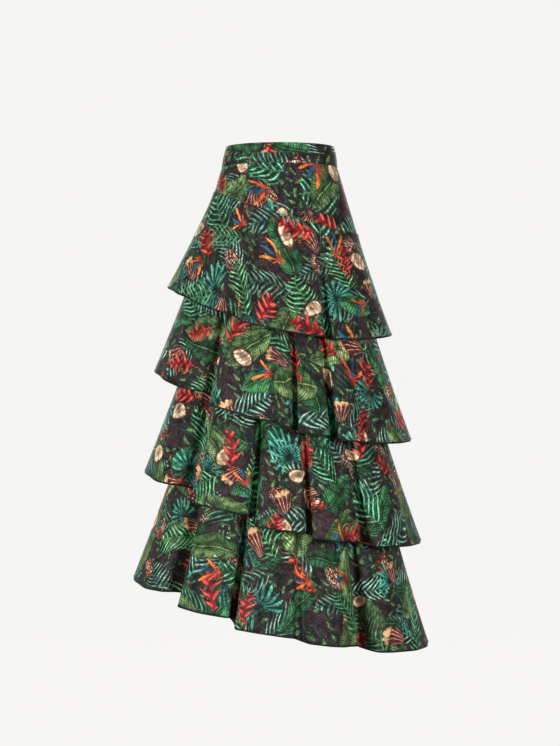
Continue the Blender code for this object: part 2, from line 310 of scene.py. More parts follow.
def seed_pod(tree, x, y, tone, motif):
    """A pod covered with round seeds of two dyes on a dark husk, darker towards its rim and on one side."""
    (seed_size,) = motif.form
    rim = oval(tree, x, y, motif)
    inside = reckon(tree, "MULTIPLY_ADD", rim, -motif.wide / 2, motif.wide / 2)
    spot = tree.nodes.new("ShaderNodeCombineXYZ")
    set_in(tree, spot.inputs[0], x)
    set_in(tree, spot.inputs[1], y)
    seeds = tree.nodes.new("ShaderNodeTexVoronoi")
    seeds.voronoi_dimensions = "2D"
    set_in(tree, seeds.inputs["Vector"], spot.outputs[0])
    seeds.inputs["Scale"].default_value = 1 / seed_size
    seeds.inputs["Randomness"].default_value = SEED_DISORDER
    pick = tree.nodes.new("ShaderNodeSeparateColor")
    set_in(tree, pick.inputs[0], seeds.outputs["Color"])
    paler = reckon(tree, "MULTIPLY_ADD", tone, 0.5, pick.outputs[0])
    seed = blend_dyes(tree, fade(tree, paler, 0.70, 0.80), motif.line, motif.light)
    colour = blend_dyes(tree, fade(tree, seeds.outputs["Distance"], 0.30, 0.46, 1.0, 0.0), motif.dark, seed)
    shade = fade(tree, reckon(tree, "MULTIPLY_ADD", y, 1 / motif.wide, rim), 0.35, 1.25, 0.0, 0.8)
    return blend_dyes(tree, shade, colour, POD_SHADE), inside


def halved_nut(tree, x, y, tone, motif):
    """Half a coconut: a dark husk round the rim, pale flesh, and a shaded hollow off its middle."""
    husk, hollow = motif.form
    rim = oval(tree, x, y, motif)
    inside = reckon(tree, "MULTIPLY_ADD", rim, -motif.wide / 2, motif.wide / 2)
    depth = reckon(tree, "MULTIPLY_ADD", y, 0.45 / motif.wide, rim)
    shaded = fade(tree, depth, hollow - 0.25, hollow + 0.12, 0.75, 0.0)
    flesh = blend_dyes(tree, shaded, motif.light, motif.line)
    return blend_dyes(tree, fade(tree, rim, husk - 0.05, husk + 0.05), flesh, motif.dark), inside


SCALE_LENGTH = 0.005
BUD_EDGE = dye(48, 28, 22)


def scaly_bud(tree, x, y, tone, motif):
    """A protea bud: a cup that widens from its foot, closed by narrow pointed scales that fan out from
    the foot, each pale along its edge, with a soft pale tuft at the top."""
    (scales,) = motif.form
    share = reckon(tree, "DIVIDE", x, motif.long / 2)
    angle = reckon(tree, "ARCTAN2", y, reckon(tree, "ADD", x, motif.long * 0.85))
    scale = reckon(tree, "ABSOLUTE", reckon(tree, "SINE", reckon(tree, "MULTIPLY", angle, scales)))
    ends = reckon(tree, "POWER", reckon(tree, "ABSOLUTE", share), 3.0)
    bulge = reckon(tree, "MULTIPLY_ADD", ends, -0.35, 1.0)
    cup = reckon(tree, "MULTIPLY_ADD", share, motif.wide / 9, motif.wide * 0.42)
    half = reckon(tree, "MULTIPLY", bulge, cup)
    side = reckon(tree, "SUBTRACT", half, reckon(tree, "ABSOLUTE", y))
    crown = reckon(tree, "MULTIPLY_ADD", scale, SCALE_LENGTH, motif.long / 2 - 0.006)
    top = reckon(tree, "SUBTRACT", crown, x)
    foot = reckon(tree, "ADD", x, motif.long / 2)
    inside = reckon(tree, "MINIMUM", side, reckon(tree, "MINIMUM", top, foot))
    colour = blend_dyes(tree, fade(tree, scale, 0.10, 0.48), motif.light, motif.dark)
    tuft = fade(tree, share, 0.45, 0.62)
    colour = blend_dyes(tree, tuft, colour, motif.line)
    edge = fade(tree, side, 0.0, 0.007, 0.6, 0.0)
    return blend_dyes(tree, edge, colour, BUD_EDGE), inside


# The print, from the ground up: each row is laid over the rows before it. It is a design of ordinary
# tropical leaves, flowers and fruits, made for this part.
PRINT = [
    Motif("undergrowth", frond, 0.098, 12, 180, 0.90, 0.098, 0.054, (0.0125, 0.80, 2.6, 0.6),
          dye(30, 38, 35), dye(54, 100, 82), dye(40, 66, 52)),
    Motif("creeper", broad_leaf, 0.0195, 20, 180, 0.50, 0.0175, 0.0088, (0.0042,),
          dye(24, 76, 46), dye(140, 200, 120), dye(150, 196, 120)),
    Motif("feather palm", frond, 0.122, 62, 180, 0.72, 0.122, 0.068, (0.0130, 0.84, 2.6, 0.45),
          dye(7, 51, 42), dye(183, 249, 216), dye(60, 116, 78)),
    Motif("shaded leaf", broad_leaf, 0.116, 37, 180, 0.52, 0.116, 0.054, (0.0060,),
          dye(12, 48, 32), dye(96, 190, 116), dye(116, 168, 96)),
    Motif("seed pod", seed_pod, 0.104, 33, 180, 0.62, 0.058, 0.036, (0.0047,),
          dye(84, 42, 30), dye(255, 232, 200), dye(214, 88, 52)),
    Motif("fan palm", fan, 0.126, 75, 180, 0.42, 0.098, 0.098, (17, 1.0, 2.2),
          dye(2, 46, 43), dye(86, 197, 166), dye(8, 44, 38)),
    Motif("split leaf", frond, 0.118, 8, 180, 0.32, 0.094, 0.078, (0.0165, 0.86, 5.0, 0.55),
          dye(6, 52, 36), dye(136, 240, 180), dye(90, 150, 96)),
    Motif("banana leaf", broad_leaf, 0.132, 70, 180, 0.58, 0.130, 0.062, (0.0052,),
          dye(28, 76, 36), dye(206, 246, 158), dye(194, 208, 126)),
    Motif("bright palm", frond, 0.130, 28, 180, 0.34, 0.122, 0.068, (0.0125, 0.78, 2.4, 0.45),
          dye(4, 66, 38), dye(156, 250, 176), dye(96, 156, 86)),
    Motif("coconut", halved_nut, 0.135, 50, 180, 0.44, 0.050, 0.036, (0.82, 0.50),
          dye(104, 58, 36), dye(250, 226, 186), dye(176, 130, 90)),
    Motif("protea bud", scaly_bud, 0.128, 83, 180, 0.45, 0.056, 0.042, (19.0,),
          dye(116, 48, 36), dye(236, 206, 178), dye(236, 190, 132)),
    Motif("hanging bracts", frond, 0.116, 15, 180, 0.42, 0.072, 0.052, (0.0190, 0.98, 1.25, 0.35),
          dye(150, 16, 30), dye(255, 112, 84), dye(130, 22, 30)),
    Motif("crane flower", fan, 0.124, 58, 180, 0.42, 0.080, 0.080, (11, 2.4, 0.8),
          dye(196, 34, 26), dye(255, 150, 70), dye(44, 92, 128)),
]
GROUND = dye(70, 52, 55)
SHADOW_DYE = dye(34, 30, 28)
SHADOW_WIDTH = 0.005
SHADOW = 0.60
EDGE_WIDTH = 0.0010
BEND_SCALE = 6.0
BEND = 0.075
BRUSH_SCALE = 260.0
MOTTLE_SCALE = 62.0


def print_on(tree, cloth):
    """The whole print as one colour. The cloth's place is bent by slow noise first, so that no two leaves
    are alike. Then each motif darkens what lies round its edge and covers what lies below it. Brush marks
    and broader patches, both soft steps of noise, are multiplied and lighten and darken the whole."""
    drift = noise(tree, cloth, BEND_SCALE, detail=2.5)
    about = tree.nodes.new("ShaderNodeVectorMath")
    about.operation = "SUBTRACT"
    set_in(tree, about.inputs[0], drift.outputs["Color"])
    about.inputs[1].default_value = (0.5, 0.5, 0.5)
    bent = tree.nodes.new("ShaderNodeVectorMath")
    bent.operation = "MULTIPLY_ADD"
    set_in(tree, bent.inputs[0], about.outputs[0])
    bent.inputs[1].default_value = (BEND, BEND, 0.0)
    set_in(tree, bent.inputs[2], cloth)
    colour = GROUND
    for number, motif in enumerate(PRINT, 1):
        x, y, tone, kept = tossed(tree, bent.outputs[0], motif, number)
        drawn, inside = motif.shape(tree, x, y, tone, motif)
        shadow = fade(tree, inside, -SHADOW_WIDTH, 0.0, 0.0, SHADOW)
        colour = blend_dyes(tree, reckon(tree, "MULTIPLY", shadow, kept), colour, SHADOW_DYE)
        cover = fade(tree, inside, 0.0, EDGE_WIDTH)
        colour = blend_dyes(tree, reckon(tree, "MULTIPLY", cover, kept), colour, drawn)
    brush = noise(tree, bent.outputs[0], BRUSH_SCALE)
    marks = fade(tree, brush.outputs["Fac"], 0.28, 0.72, 0.66, 1.50)
    mottle = noise(tree, bent.outputs[0], MOTTLE_SCALE, detail=1.0)
    patches = fade(tree, mottle.outputs["Fac"], 0.28, 0.66, 0.42, 1.30)
    return blend_dyes(tree, 1.0, colour, reckon(tree, "MULTIPLY", marks, patches), way="MULTIPLY")


def ridges_along(tree, place, direction, per_metre, wander=0.0):
    """Straight ridges on a place: a sine, with so many to the metre, whose lines may wander."""
    wave = tree.nodes.new("ShaderNodeTexWave")
    wave.bands_direction = direction
    set_in(tree, wave.inputs["Vector"], place)
    wave.inputs["Scale"].default_value = per_metre * math.pi / 10
    wave.inputs["Distortion"].default_value = wander
    return wave.outputs["Fac"]


THREADS_PER_METRE = 1300
THREAD_WANDER = 0.6
SLUB_SCALE = 120.0
SLUB_HEIGHT = 3.0
FADED_DYE = dye(92, 90, 80)


def printed_cloth(name, faded=0.0):
    """Printed cotton: a plain weave, the higher of two sets of ridges, stands in the bump with slight slubs.
    Its height is also painted into the colour: paler on the threads' tops as painted highlight and darker
    between them as painted shade. faded is how much colour is lost, as on the wrong side."""
    made, tree, shader = new_material(name)
    cut = place_on_map(tree, "cut")
    colour = print_on(tree, cut)
    if faded:
        colour = blend_dyes(tree, faded, colour, FADED_DYE)
    warp = ridges_along(tree, cut, "X", THREADS_PER_METRE, THREAD_WANDER)
    weft = ridges_along(tree, cut, "Y", THREADS_PER_METRE, THREAD_WANDER)
    weave = reckon(tree, "MAXIMUM", warp, weft)
    # Painted light: the weave's height darkens the print between the threads as painted shade and lightens it
    # on their tops as painted highlight.
    weave_shade_and_highlight = fade(tree, weave, 0.2, 1.0, 0.92, 1.14)
    set_in(tree, shader.inputs["Base Color"], blend_dyes(tree, 1.0, colour, weave_shade_and_highlight, way="MULTIPLY"))
    slub = noise(tree, cut, SLUB_SCALE, detail=3.0)
    height = reckon(tree, "MULTIPLY_ADD", slub.outputs["Fac"], SLUB_HEIGHT, weave)
    raise_bump(tree, shader, height, strength=0.5, distance=0.00012)
    shader.inputs["Roughness"].default_value = 0.62
    shader.inputs["Specular IOR Level"].default_value = 0.28
    shader.inputs["Sheen Weight"].default_value = 0.04
    shader.inputs["Sheen Roughness"].default_value = 0.4
    return made


LEAF_PRINT = printed_cloth("leaf_printed_cotton")
LEAF_PRINT_BACK = printed_cloth("leaf_printed_cotton_wrong_side", faded=0.55)


LEAST_SPREAD = 0.05


def cut_pattern(points, place):
    """The flat cut of a panel: each row of points keeps its length, and the rows lie on rings whose radii
    differ by the panel's length, as a circular flounce is cut. A straight panel gets a very large ring."""
    steps = np.linalg.norm(np.diff(points, axis=1), axis=2)
    along = np.concatenate([np.zeros((len(points), 1)), np.cumsum(steps, axis=1)], axis=1)
    falls = np.linalg.norm(np.diff(points, axis=0), axis=2).mean(axis=1)
    down = np.concatenate([[0.0], np.cumsum(falls)])
    widths = along[:, -1]
    spread = max((widths[-1] - widths[0]) / down[-1], LEAST_SPREAD)
    radius = (widths[0] / spread + down)[:, None]
    angle = (along / widths[:, None] - 0.5) * widths[:, None] / radius
    across, up = radius * np.sin(angle), radius[0, 0] - radius * np.cos(angle)
    return np.stack([across + place[0], up + place[1]], axis=-1)


def corners_of(grid):
    """The four corners of each square of a grid."""
    return np.stack([grid[:-1, :-1], grid[1:, :-1], grid[1:, 1:], grid[:-1, 1:]], axis=2)


def mesh_object(name, points, faces):
    """A smooth mesh object in the scene, from a grid of points and a list of faces."""
    mesh = bpy.data.meshes.new(name)
    mesh.from_pydata(points.reshape(-1, 3).tolist(), [], faces)
    mesh.shade_smooth()
    made = bpy.data.objects.new(name, mesh)
    bpy.context.scene.collection.objects.link(made)
    return made


COLUMN_STEP = 0.5
FRONT = np.arange(-SIDE_SEAM_ANGLE, SIDE_SEAM_ANGLE + COLUMN_STEP / 2, COLUMN_STEP)
BACK = np.arange(SIDE_SEAM_ANGLE, 360 - SIDE_SEAM_ANGLE + COLUMN_STEP / 2, COLUMN_STEP)
ALL_ROUND = np.concatenate([FRONT, BACK[1:-1]])


def tube_of_cloth(name, points, places, closed_down=False):
    """A mesh of cloth all round the wearer, from rows of points at ALL_ROUND. The front and back are cut
    apart, each with its own place on the print; closed_down joins the last row to the first."""
    down, round_it = points.shape[:2]
    index = np.arange(down * round_it).reshape(down, round_it)
    index = np.concatenate([index, index[:, :1]], axis=1)
    rows = np.concatenate([points, points[:, :1]], axis=1)
    if closed_down:
        index = np.concatenate([index, index[:1]])
        rows = np.concatenate([rows, rows[:1]])
    faces = corners_of(index)
    split = len(FRONT)
    flat = np.empty((*faces.shape, 2))
    for first, last, place in ((0, split, places[0]), (split - 1, rows.shape[1], places[1])):
        flat[:, first : last - 1] = corners_of(cut_pattern(rows[:, first:last], place))
    made = mesh_object(name, points, faces.reshape(-1, 4).tolist())
    made.data.uv_layers.new(name="cut").data.foreach_set("uv", flat.ravel())
    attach(made, "skirt")
    return made


def seam_groove(degrees, depth, width):
    """How far cloth sinks at the two side seams: a narrow bell at each, width degrees wide."""
    past = np.abs(np.abs((degrees + 180.0) % 360.0 - 180.0) - SIDE_SEAM_ANGLE)
    return depth * np.exp(-((past / width) ** 2))


GROOVE_WIDTH = 0.5
BAND_GROOVE = 0.0004
BAND_STATIONS = 48
CORNER_POWER = 0.55


def band_points():
    """The band's section, carried round the waist: a circle pushed out towards a square and stretched. It
    goes down the inside, round the lower edge, up the outside, which bulges by a sine, and over the fold."""
    around = np.linspace(0.0, 2 * math.pi, BAND_STATIONS, endpoint=False)
    side, height = np.cos(around), np.sin(around)
    boxy = np.maximum(np.abs(side), np.abs(height)) ** CORNER_POWER
    side, height = np.clip(side / boxy, -1, 1), np.clip(height / boxy, -1, 1)
    share = (1 - height) / 2
    bulge = BAND_BULGE * np.clip(side, 0, 1) * np.sin(math.pi * share)
    wall = BAND_CLOTH - CLOTH - BAND_CLOTH * (1 - side) / 2 + bulge
    groove = seam_groove(ALL_ROUND, BAND_GROOVE, GROOVE_WIDTH)
    rows = []
    for part, out in zip(share, wall):
        ring = ring_between(WAIST_TOP, WAIST_SEAM, part)
        rows.append(ring_points(ring, ALL_ROUND, out - groove * (out > 0)))
    return np.array(rows)


waistband = tube_of_cloth("waistband", band_points(), ((0.31, 0.22), (1.13, 0.58)), closed_down=True)
waistband.data.materials.append(LEAF_PRINT)
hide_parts("waistband_front", "waistband_back")

# The skirt's body hangs from the band. Its top shows as a smooth yoke over the hips, and it goes on down
# under the flounces, which are sewn to it. It is plain printed cotton with a seam at each side.
SEAM_1 = Ring(-0.142, -0.074, 0.168, -0.167, 0.122, 0.016)
SEAM_2 = Ring(-0.157, -0.161, 0.179, -0.296, 0.134, 0.018)
SEAM_3 = Ring(-0.172, -0.348, 0.194, -0.492, 0.144, 0.018)
SEAM_4 = Ring(-0.192, -0.558, 0.218, -0.693, 0.158, 0.018)
BODY_TURN_UP = 0.012
BAND_SEAM_GAP = 0.0003
TUCKED_IN = 0.0030
SEAM_SINK = 0.0014
SINK_ROWS = 0.8
BODY_GROOVE = 0.0005
BODY_ROWS = (14, 12, 10, 12, 12, 3)
WALL = 0.0007


def lowered(ring, fall):
    """The same ring, lower down."""
    return ring._replace(left_z=ring.left_z - fall, right_z=ring.right_z - fall)


def body_points():
    """Straight walls from ring to ring. The top edge is tucked up between the band's layers, and below it
    the cloth comes out again as a falling exponential of the row."""
    top = lowered(WAIST_SEAM, BAND_SEAM_GAP)
    rings = [top, ring_between(top, SEAM_1, 0.5), SEAM_1, SEAM_2, SEAM_3, SEAM_4]
    rings.append(lowered(SEAM_4, BODY_TURN_UP))
    rows = [(lowered(top, -TUCKED_IN), -WALL), (lowered(top, -TUCKED_IN / 3), -SEAM_SINK)]
    tucked = len(rows)
    for upper, lower, count in zip(rings, rings[1:], BODY_ROWS):
        for share in np.arange(count) / count:
            turned_in = -SEAM_SINK * math.exp(-(len(rows) - tucked) / SINK_ROWS)
            rows.append((ring_between(upper, lower, share), turned_in))
    rows.append((rings[-1], 0.0))
    groove = seam_groove(ALL_ROUND, BODY_GROOVE, GROOVE_WIDTH)
    return np.array([ring_points(ring, ALL_ROUND, turned_in - groove) for ring, turned_in in rows])


def give_wall(piece):
    """Gives a sheet its thickness, inwards, with the print's wrong side on the inside."""
    piece.data.materials.append(LEAF_PRINT)
    piece.data.materials.append(LEAF_PRINT_BACK)
    wall = piece.modifiers.new("cloth", "SOLIDIFY")
    wall.thickness = WALL
    wall.offset = -1.0
    wall.material_offset = 1


skirt_body = tube_of_cloth("skirt_body", body_points(), ((0.11, 0.64), (1.52, 0.17)))
give_wall(skirt_body)
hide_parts("skirt_front", "skirt_back")

# Four circular flounces are cut from the same cloth and sewn round the body, one under the other, on
# seams that slant down to the wearer's left. Each is smooth at its seam and falls in flutes at its
# hem, and a narrow black rolled edge, overlocked with thick thread, finishes the hem.
Flounce = namedtuple("Flounce", "seam hem folds rows flat area front_place back_place")
HEM_1 = Ring(-0.244, -0.281, 0.244, -0.385, 0.210, 0.047)
HEM_2 = Ring(-0.273, -0.463, 0.286, -0.612, 0.240, 0.042)
HEM_3 = Ring(-0.294, -0.681, 0.307, -0.832, 0.259, 0.033)
HEM_4 = Ring(-0.318, -0.912, 0.323, -1.054, 0.276, 0.022)

# A valley between two flutes: angle is where it lies, depth its depth at the hem, width its half-width
# in degrees, lean how far its floor is pushed sideways, step how much lower the hem is on its left
# than on its right, as the wearer has them, start the share of the way down at which it begins, and
# mouth the share of its width that stays open.
Fold = namedtuple("Fold", "angle depth width lean step start mouth", defaults=[0.42])
FOLDS_1 = [
    Fold(-54.0, 0.008, 9.0, 0.000, 0.000, 0.30),
    Fold(-24.0, 0.028, 4.0, -0.002, 0.006, 0.05, 0.60),
    Fold(26.0, 0.038, 3.4, 0.004, 0.003, 0.02, 0.50),
    Fold(60.0, 0.008, 8.0, 0.000, 0.000, 0.40),
    Fold(122.0, 0.022, 4.4, 0.006, -0.003, 0.05),
    Fold(158.0, 0.018, 6.0, -0.006, -0.003, 0.15),
    Fold(-166.0, 0.022, 4.2, 0.006, -0.003, 0.05),
    Fold(-126.0, 0.018, 5.5, -0.006, -0.002, 0.10),
]
FOLDS_2 = [
    Fold(-38.0, 0.050, 3.2, -0.010, 0.018, 0.05, 0.70),
    Fold(-3.0, 0.018, 2.6, 0.006, 0.004, 0.15),
    Fold(4.5, 0.042, 2.5, 0.008, 0.003, 0.05, 0.50),
    Fold(23.0, 0.052, 2.7, 0.015, 0.004, 0.03, 0.60),
    Fold(42.0, 0.014, 4.0, 0.004, 0.000, 0.30),
    Fold(114.0, 0.040, 3.0, 0.010, -0.008, 0.05),
    Fold(137.0, 0.032, 2.8, -0.010, -0.005, 0.10),
    Fold(161.0, 0.042, 2.8, 0.012, -0.010, 0.00),
    Fold(-173.0, 0.026, 3.4, -0.008, -0.004, 0.15),
    Fold(-146.0, 0.042, 2.8, 0.012, -0.010, 0.05),
    Fold(-116.0, 0.038, 3.0, -0.010, -0.008, 0.05),
]
FOLDS_3 = [
    Fold(-45.5, 0.066, 4.9, -0.028, 0.024, 0.00, 1.00),
    Fold(-12.5, 0.048, 2.5, -0.010, 0.016, 0.05, 0.48),
    Fold(10.0, 0.038, 2.4, 0.010, 0.004, 0.05),
    Fold(27.0, 0.018, 2.8, 0.004, -0.002, 0.20),
    Fold(32.5, 0.014, 4.5, 0.000, 0.000, 0.10),
    Fold(39.0, 0.054, 3.3, 0.014, 0.006, 0.00, 0.80),
    Fold(113.0, 0.044, 2.6, 0.012, -0.010, 0.00),
    Fold(134.0, 0.034, 2.6, -0.010, -0.006, 0.10),
    Fold(154.0, 0.044, 2.5, 0.012, -0.010, 0.00),
    Fold(176.0, 0.030, 2.6, -0.009, -0.004, 0.10),
    Fold(-161.0, 0.044, 2.5, 0.012, -0.010, 0.05),
    Fold(-137.0, 0.036, 2.6, -0.010, -0.006, 0.05),
    Fold(-113.0, 0.044, 2.8, 0.012, -0.008, 0.00),
]
FOLDS_4 = [
    Fold(-49.5, 0.072, 3.8, -0.016, 0.018, 0.00, 0.90),
    Fold(-18.5, 0.050, 2.3, -0.015, 0.016, 0.05),
    Fold(8.0, 0.026, 2.8, -0.006, 0.004, 0.10),
    Fold(30.0, 0.020, 5.0, 0.000, 0.000, 0.05),
    Fold(37.0, 0.072, 3.4, 0.022, 0.010, 0.00, 0.85),
    Fold(113.0, 0.052, 2.6, 0.014, -0.012, 0.00),
    Fold(135.0, 0.044, 2.4, -0.012, -0.006, 0.05),
    Fold(157.0, 0.054, 2.4, 0.014, -0.012, 0.00),
    Fold(179.0, 0.036, 2.6, -0.010, -0.004, 0.10),
    Fold(-158.0, 0.054, 2.3, 0.013, -0.012, 0.00),
    Fold(-135.0, 0.044, 2.4, -0.012, -0.006, 0.05),
    Fold(-113.0, 0.052, 2.6, 0.013, -0.010, 0.00),
]
FLOUNCES = {
    "tier_1": Flounce(SEAM_1, HEM_1, FOLDS_1, 44, (1.55, 0.26), 0.29, (0.43, 0.91), (1.87, 0.35)),
    "tier_2": Flounce(SEAM_2, HEM_2, FOLDS_2, 52, (2.13, 0.35), 0.49, (0.72, 1.36), (2.21, 0.82)),
    "tier_3": Flounce(SEAM_3, HEM_3, FOLDS_3, 52, (2.37, 0.37), 0.58, (0.29, 1.83), (2.63, 1.27)),
    "tier_4": Flounce(SEAM_4, HEM_4, FOLDS_4, 52, (2.59, 0.39), 0.66, (0.94, 2.31), (2.98, 1.74)),
}
FLARE_POWER = 1.1
STEP_REACH = 12.0
STEP_SHARPNESS = 1.5
SEAM_ROWS = [0.0, 0.003, 0.007, 0.013, 0.021]
FIRST_ROW = 0.03
SEAT_GAP = 0.0005
SEAM_ROLL = 0.0016
ROLL_LENGTH = 0.006
TUCK = 1.6
TUCK_LENGTH = 0.0012
TIER_GROOVE = 0.0006
TIER_GROOVE_WIDTH = 0.45
RIPPLE = 0.0022
LONG_RIPPLES = 7
SHORT_RIPPLES = 16
MOUTH = 1.3
LIP = 0.5
DEEP_FOLD = 0.040
SHOULDER = 0.25
SHOULDER_REACH = 2.9


def flounce_ring(flounce, share):
    """The flounce's ring without its folds. Its height goes down evenly and its width and depth grow as
    the share to the power FLARE_POWER, so it starts out steep and spreads more towards the hem."""
    level = ring_between(flounce.seam, flounce.hem, share)
    spread = ring_between(flounce.seam, flounce.hem, share**FLARE_POWER)
    return level._replace(left=spread.left, right=spread.right, depth=spread.depth)


def flounce_row(flounce, share, degrees):
    """One row of a flounce: its ring, a roll of turned-under cloth at the seam, the difference of two
    falling exponentials, ripples near the hem, a product of two sines, and the valleys. A valley is pushed
    in and sideways by a flat-bottomed bell with a wide, shallow one round it; two narrow bells draw the
    flutes together over its mouth, and the hem steps down there by a tanh that dies out on both sides."""
    fallen = share * flounce.flat[1]
    seated = (SEAT_GAP + CLOTH) * (1 - share)
    roll = SEAM_ROLL * (math.exp(-fallen / ROLL_LENGTH) - TUCK * math.exp(-fallen / TUCK_LENGTH))
    turn = np.radians(degrees)
    ripple = np.sin(LONG_RIPPLES * turn + 0.7) * np.sin(SHORT_RIPPLES * turn + 3 * share)
    groove = seam_groove(degrees, TIER_GROOVE, TIER_GROOVE_WIDTH)
    out = seated + roll + RIPPLE * share**2 * ripple - groove
    ring = flounce_ring(flounce, share)
    points = ring_points(ring, degrees)
    outward = np.stack([np.sin(turn), -np.cos(turn), 0 * turn], axis=-1)
    along = np.stack([np.cos(turn), np.sin(turn), 0 * turn], axis=-1)
    points += out[:, None] * outward
    for fold in flounce.folds:
        grown = max(0.0, (share - fold.start) / (1 - fold.start))
        past = ((degrees - fold.angle + 180.0) % 360.0 - 180.0) / fold.width
        shoulder = SHOULDER * np.exp(-((past / SHOULDER_REACH) ** 2))
        valley = ((1 - SHOULDER) * np.exp(-(np.abs(past) ** 3)) + shoulder)[:, None]
        points += grown * valley * (fold.lean * along - fold.depth * outward)
        mouth = np.exp(-(((past - MOUTH) / LIP) ** 2)) - np.exp(-(((past + MOUTH) / LIP) ** 2))
        closed = (1 - fold.mouth) * min(1.0, fold.depth / DEEP_FOLD) ** 2
        pinch = closed * math.radians(fold.width) * ring.right
        points -= grown * pinch * mouth[:, None] * along
        side = np.tanh(STEP_SHARPNESS * past) * np.exp(-((past * fold.width / STEP_REACH) ** 2))
        points[:, 2] -= grown * fold.step / 2 * side
    return points


HEM_HEIGHT = 0.0040
HEM_THICKNESS = 0.0024
HEM_SIDES = 8
STITCHES_PER_METRE = 650


def overlock_thread():
    """Black overlock thread: fine slanted ridges in the bump, slightly glossy."""
    made, tree, shader = new_material("black_overlock_thread")
    shader.inputs["Base Color"].default_value = dye(9, 8, 9)
    shader.inputs["Roughness"].default_value = 0.55
    stitches = ridges_along(tree, place_on_map(tree, "cut"), "DIAGONAL", STITCHES_PER_METRE)
    raise_bump(tree, shader, stitches, strength=0.7, distance=0.0003)
    return made


OVERLOCK = overlock_thread()


def rolled_hem(name, edge, above):
    """An oval carried along the hem: tall down the cloth, from the edge and the row above it, and thinner
    across it."""
    down = edge - above
    down /= np.linalg.norm(down, axis=1, keepdims=True)
    along = np.roll(edge, -1, axis=0) - np.roll(edge, 1, axis=0)
    along /= np.linalg.norm(along, axis=1, keepdims=True)
    out = np.cross(down, along)
    middle = edge - out * WALL / 2
    section = np.linspace(0.0, 2 * math.pi, HEM_SIDES, endpoint=False)
    rows = [
        middle + HEM_HEIGHT / 2 * math.sin(angle) * down + HEM_THICKNESS / 2 * math.cos(angle) * out
        for angle in section
    ]
    hem = tube_of_cloth(name, np.array(rows)[::-1], ((0.0, 0.0), (0.0, 0.0)), closed_down=True)
    hem.data.materials.append(OVERLOCK)
    return hem


for name, flounce in FLOUNCES.items():
    shares = np.concatenate([SEAM_ROWS, np.linspace(FIRST_ROW, 1.0, flounce.rows)])
    points = np.array([flounce_row(flounce, share, ALL_ROUND) for share in shares])
    tier = tube_of_cloth(name, points, (flounce.front_place, flounce.back_place))
    give_wall(tier)
    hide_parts(f"{name}_front", f"{name}_back")
    hem = rolled_hem(f"{name}_rolled_hem", points[-1], points[-2])

# The concealed zip closes the wearer's left side seam from the top of the band to the first flounce.
# Two woven tapes are sewn to the inside of the cloth, a nylon coil joins them on their hidden side, and
# the slider and its pull tab are cast metal, painted black.
TAPE_WIDTH = 0.024
TAPE_THICKNESS = 0.0005
TAPE_INSIDE = 0.0029
TAPE_DISH = 0.0004
ZIP_TOP = ring_between(WAIST_TOP, WAIST_SEAM, 0.05)
ZIP_END = ring_between(SEAM_1, SEAM_2, 0.05)
ZIP_RINGS = [ZIP_TOP, WAIST_SEAM, SEAM_1, ZIP_END]
ZIP_STATIONS = [0.0, 0.22, 0.97, 1.0]
ZIP_LENGTH = 0.200
TAPE_ROWS = 48
TAPE_COLUMNS = 13
COIL_RADIUS = 0.0013
COIL_PITCH = 0.0016
COIL_SIDES = 8


def inside_the_seam(down, across, inside):
    """Points behind the side seam: shares down the zip, distances across it, at one depth in the cloth. The
    rings between the stations are blended in straight lines."""
    fields = [np.interp(down, ZIP_STATIONS, column)[:, None] for column in zip(*ZIP_RINGS)]
    ring = Ring(*fields)
    return ring_points(ring, SIDE_SEAM_ANGLE + np.degrees(across / ring.depth), -inside)


def zip_piece(name, points, faces):
    """A mesh from a grid of points, with the distances along and across the grid as its own UV map."""
    down, across = points.shape[:2]
    made = mesh_object(name, points, faces)
    mesh = made.data
    lie = np.stack(np.meshgrid(np.linspace(0, TAPE_WIDTH, across), np.linspace(0, ZIP_LENGTH, down)), axis=-1)
    corners = np.empty(len(mesh.loops), dtype=np.int32)
    mesh.loops.foreach_get("vertex_index", corners)
    mesh.uv_layers.new(name="lie").data.foreach_set("uv", lie.reshape(-1, 2)[corners].ravel())
    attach(made, "skirt")
    return made


def zip_tapes():
    """Both tapes as one strip, dished by a narrow bell along the line where they meet."""
    across = np.linspace(-TAPE_WIDTH / 2, TAPE_WIDTH / 2, TAPE_COLUMNS)
    dished = TAPE_INSIDE + TAPE_DISH * np.exp(-((across / 0.001) ** 2))
    points = inside_the_seam(np.linspace(0, 1, TAPE_ROWS), across, dished)
    index = np.arange(points.shape[0] * points.shape[1]).reshape(points.shape[:2])
    made = zip_piece("zip_tapes", points, corners_of(index).reshape(-1, 4).tolist())
    wall = made.modifiers.new("tape", "SOLIDIFY")
    wall.thickness = TAPE_THICKNESS
    wall.offset = -1.0
    return made


def zip_coil():
    """A round bead carried down the middle of the tapes: its radius swells and shrinks with each turn of the
    coil, on a sine, and it is half as wide again as it is high."""
    down = np.linspace(0.01, 0.985, 4 * round(ZIP_LENGTH / COIL_PITCH) + 1)
    middle = inside_the_seam(down, np.zeros(1), TAPE_INSIDE + TAPE_THICKNESS + TAPE_DISH + COIL_RADIUS)
    turn = math.radians(SIDE_SEAM_ANGLE)
    outward = np.array([math.sin(turn), -math.cos(turn), 0.0])
    along = np.array([math.cos(turn), math.sin(turn), 0.0])
    around = np.linspace(0, 2 * math.pi, COIL_SIDES, endpoint=False)
    swell = COIL_RADIUS * (0.84 + 0.16 * np.sin(2 * math.pi * down * ZIP_LENGTH / COIL_PITCH))[:, None, None]
    points = middle + swell * (1.5 * np.cos(around)[:, None] * along + np.sin(around)[:, None] * outward)
    index = np.arange(len(points) * COIL_SIDES).reshape(-1, COIL_SIDES)
    beside = np.roll(index, -1, axis=1)
    faces = np.stack([index[:-1], beside[:-1], beside[1:], index[1:]], axis=-1).reshape(-1, 4).tolist()
    return zip_piece("zip_coil", points, faces + [index[0][::-1].tolist(), index[-1].tolist()])


YARN_SCALE = 400.0
YARN_HIGHLIGHT = dye(44, 44, 47)


